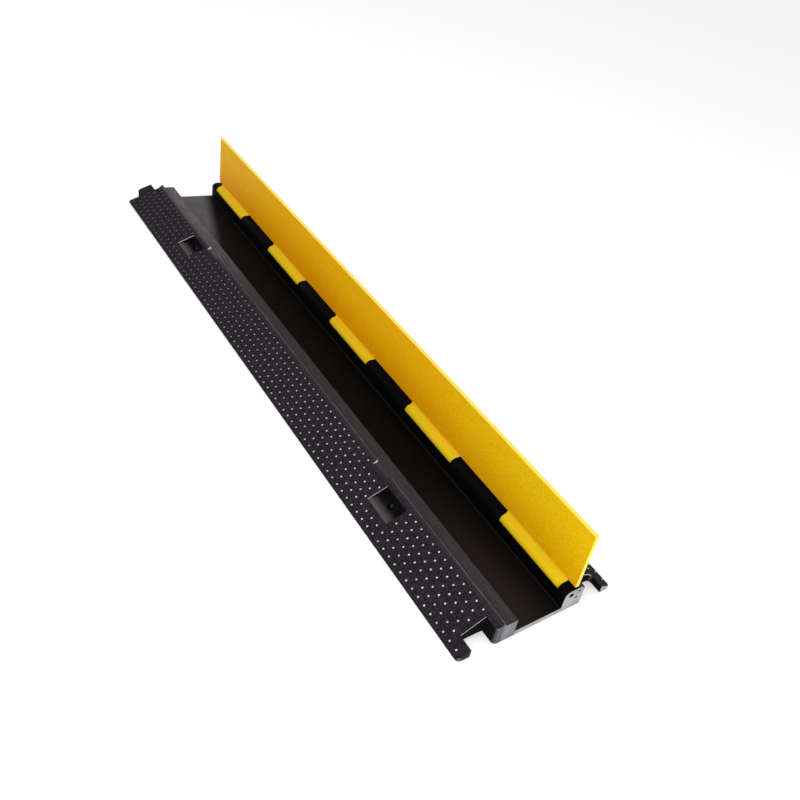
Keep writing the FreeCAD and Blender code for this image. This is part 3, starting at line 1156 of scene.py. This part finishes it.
@dataclass
class Lid:
    """The yellow lid: a plate with five hinge knuckles that grow out of its inner face."""

    axis_y: float
    axis_z: float
    thickness: float = 5.0 * MM
    radius: float = 7.5 * MM
    bore: float = 3.08 * MM
    root_height: float = 33.0 * MM
    web_top: float = 34.0 * MM
    knuckles: int = 5
    knuckle_length: float = 111.0 * MM
    knuckle_pitch: float = 215.0 * MM
    arc_steps: int = 40
    bore_sides: int = 32
    bore_overrun: float = 1.1
    rounding: float = 0.7 * MM
    rounding_segments: int = 3
    rounding_degrees: float = 50.0
    sharp_degrees: float = 40.0
    worn_share: float = 0.7

    @property
    def outer_y(self) -> float:
        """The plate's outer face."""
        return self.axis_y + self.radius

    @property
    def inner_y(self) -> float:
        """The plate's inner face."""
        return self.outer_y - self.thickness

    def profile(self) -> list[Vector]:
        """The knuckle's outline: a barrel, and a web from its top to a root inside the plate.

        Returns:
            Points at X = 0, in order round the outline.
        """
        points = []
        for step in range(self.arc_steps + 1):
            angle = math.pi * (0.5 + 1.5 * step / self.arc_steps)
            points.append(Vector((0.0, self.axis_y + self.radius * math.cos(angle),
                                  self.axis_z + self.radius * math.sin(angle))))
        points.append(Vector((0.0, self.outer_y, self.web_top)))
        points.append(Vector((0.0, self.inner_y, self.web_top)))
        return points

    def add_knuckle(self, shape: bmesh.types.BMesh) -> None:
        """Fill a mesh with one knuckle, centred on X = 0.

        Args:
            shape: the mesh that gets it.
        """
        half = Vector((self.knuckle_length / 2, 0.0, 0.0))
        ends = [[shape.verts.new(point + offset) for point in self.profile()] for offset in (-half, half)]
        for ring in ends:
            shape.faces.new(ring)
        for low, low_next, high_next, high in zip(ends[0], ends[0][1:] + ends[0][:1],
                                                  ends[1][1:] + ends[1][:1], ends[1]):
            shape.faces.new((low, low_next, high_next, high))

    def add_plate(self, shape: bmesh.types.BMesh) -> None:
        """Fill a mesh with the plate.

        Args:
            shape: the mesh that gets it.
        """
        low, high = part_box("lid")
        centre = Vector((0.0, (self.inner_y + self.outer_y) / 2, (self.root_height + high.z) / 2))
        extent = Vector((high.x - low.x, self.thickness, high.z - self.root_height))
        bmesh.ops.create_cube(shape, size=1.0,
                              matrix=Matrix.Translation(centre) @ Matrix.Diagonal((*extent, 1.0)))

    def tree(self, knuckle: bpy.types.Object) -> Tree:
        """Build the tree that sets the knuckles along the plate's root and bores them.

        Args:
            knuckle: one knuckle.

        Returns:
            The tree, with named inputs for the count, the pitch and the bore.
        """
        tree = Tree("lid_knuckles", {
            "Count": "Int", "Pitch": "Float", "Bore Radius": "Float", "Bore Length": "Float",
            "Axis": "Vector", "Finish": "Material"})
        count, pitch = tree.given("Count"), tree.given("Pitch")
        first = pitch * ((count - 1) * -0.5)
        line = tree.node("GeometryNodeMeshLine", {"mode": "OFFSET"}, {
            "Count": count, "Start Location": tree.join(x=first), "Offset": tree.join(x=pitch)})
        form = tree.node("GeometryNodeObjectInfo", {}, {"Object": knuckle})
        row = tree.node("GeometryNodeInstanceOnPoints", {}, {
            "Points": line.outputs[0], "Instance": form.outputs["Geometry"]})
        joined = tree.node("GeometryNodeMeshBoolean", {"operation": "UNION", "solver": "EXACT"})
        for part in (tree.given("Geometry"), tree.realize(row.outputs[0])):
            tree.feed(joined.inputs["Mesh 2"], part)
        drill = tree.node("GeometryNodeMeshCylinder", {}, {
            "Vertices": self.bore_sides, "Radius": tree.given("Bore Radius"),
            "Depth": tree.given("Bore Length")})
        laid = tree.node("GeometryNodeTransform", {}, {
            "Geometry": drill.outputs["Mesh"], "Rotation": (0.0, math.pi / 2, 0.0),
            "Translation": tree.given("Axis")})
        bored = tree.node("GeometryNodeMeshBoolean", {"operation": "DIFFERENCE", "solver": "EXACT"}, {
            "Mesh 1": joined.outputs[0], "Mesh 2": laid.outputs[0]})
        tree.close(bored.outputs[0])
        return tree

    def build(self) -> None:
        """Make the lid as one piece."""
        knuckle = add_object("knuckle_form", mesh_from("knuckle_form", self.add_knuckle))
        piece = add_object("lid_shell", mesh_from("lid_shell", self.add_plate))
        low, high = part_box("lid")
        self.tree(knuckle).attach(piece, {
            "Count": self.knuckles, "Pitch": self.knuckle_pitch, "Bore Radius": self.bore,
            "Bore Length": (high.x - low.x) * self.bore_overrun, "Axis": (0.0, self.axis_y, self.axis_z),
            "Finish": LidFinish(self.root_height).build()})
        add_bevel(piece, self.rounding, self.rounding_segments, self.rounding_degrees)
        settle(piece, self.sharp_degrees)
        mark_corners(piece, self.rounding * self.worn_share)
        bpy.data.objects.remove(knuckle)
        finish_piece(piece, Body.LID, Slot.LID, "lid")


def dress_rod() -> None:
    """Give the frame's rod its steel."""
    rod = frame["nodes"]["hinge_rod"]
    rod.data.materials.clear()
    rod.data.materials.append(RodFinish().build())
    log.info("hinge_rod: dressed")


# The studio


@dataclass
class Camera:
    """The viewpoint: high over the female end, on the side the lid opens to, and rolled."""

    position: Triple = (0.8263, -0.4746, 0.6665)
    azimuth: float = 40.86
    elevation: float = 33.85
    roll: float = 18.02
    lens: float = 35.93
    shift: Span = (-0.1876, -0.0082)

    def build(self) -> None:
        """Make the camera and use it."""
        turn, tilt = math.radians(self.azimuth), math.radians(self.elevation)
        back = Vector((math.sin(turn) * math.cos(tilt), -math.cos(turn) * math.cos(tilt), math.sin(tilt)))
        level = Vector((0.0, 0.0, 1.0)).cross(back).normalized()
        upright = back.cross(level)
        lean = math.radians(self.roll)
        right = level * math.cos(lean) + upright * math.sin(lean)
        up = upright * math.cos(lean) - level * math.sin(lean)
        optics = bpy.data.cameras.new("camera")
        optics.lens = self.lens
        optics.shift_x, optics.shift_y = self.shift
        viewer = bpy.data.objects.new("camera", optics)
        bpy.context.scene.collection.objects.link(viewer)
        axes = Matrix((right, up, back)).transposed().to_4x4()
        viewer.matrix_world = Matrix.Translation(Vector(self.position)) @ axes
        bpy.context.scene.camera = viewer


@dataclass(frozen=True)
class SoftBox:
    """A square light that points at the middle of the ramp."""

    name: str
    position: Triple
    width: float
    power: float

    def build(self) -> None:
        """Make the light."""
        light = bpy.data.lights.new(self.name, "AREA")
        light.shape = "SQUARE"
        light.size = self.width
        light.energy = self.power
        lamp = bpy.data.objects.new(self.name, light)
        bpy.context.scene.collection.objects.link(lamp)
        place = Vector(self.position)
        lamp.matrix_world = Matrix.Translation(place) @ place.to_track_quat("Z", "Y").to_matrix().to_4x4()


@dataclass
class Studio:
    """Pale floor, soft lights and a bright even surrounding."""

    floor_reach: float = 30.0
    floor_gap: float = 0.2 * MM
    surround: Colour = (1.0, 1.0, 1.0)
    surround_strength: float = 0.95
    lights: tuple[SoftBox, ...] = (
        SoftBox("key_light", (2.3, -0.7, 1.5), 1.2, 34.0),
        SoftBox("fill_light", (0.2, -1.6, 2.2), 1.6, 12.0),
    )

    def build(self) -> None:
        """Make the floor, the lights and the surrounding."""

        def lay(shape: bmesh.types.BMesh) -> None:
            """Lay one large square under the ramp.

            Args:
                shape: the mesh that gets it.
            """
            bmesh.ops.create_grid(shape, x_segments=1, y_segments=1, size=self.floor_reach)

        floor = add_object("studio_floor", mesh_from("studio_floor", lay))
        floor.location.z = CAD_BOX[0][2] - self.floor_gap
        floor.data.materials.append(FloorFinish().build())
        for light in self.lights:
            light.build()
        world = bpy.data.worlds.new("surround")
        world.use_nodes = True
        back = world.node_tree.nodes["Background"]
        back.inputs["Color"].default_value = (*self.surround, 1.0)
        back.inputs["Strength"].default_value = self.surround_strength
        bpy.context.scene.world = world
        bpy.context.scene.view_settings.view_transform = "Standard"


def main() -> None:
    """Build the ramp piece by piece, then the studio."""
    Camera().build()
    hinge = frame["joints"][0]["pos_m"]
    BaseMoulding().build()
    Lid(axis_y=hinge[1], axis_z=hinge[2]).build()
    dress_rod()
    Studio().build()


if __name__ == "__main__":
    main()
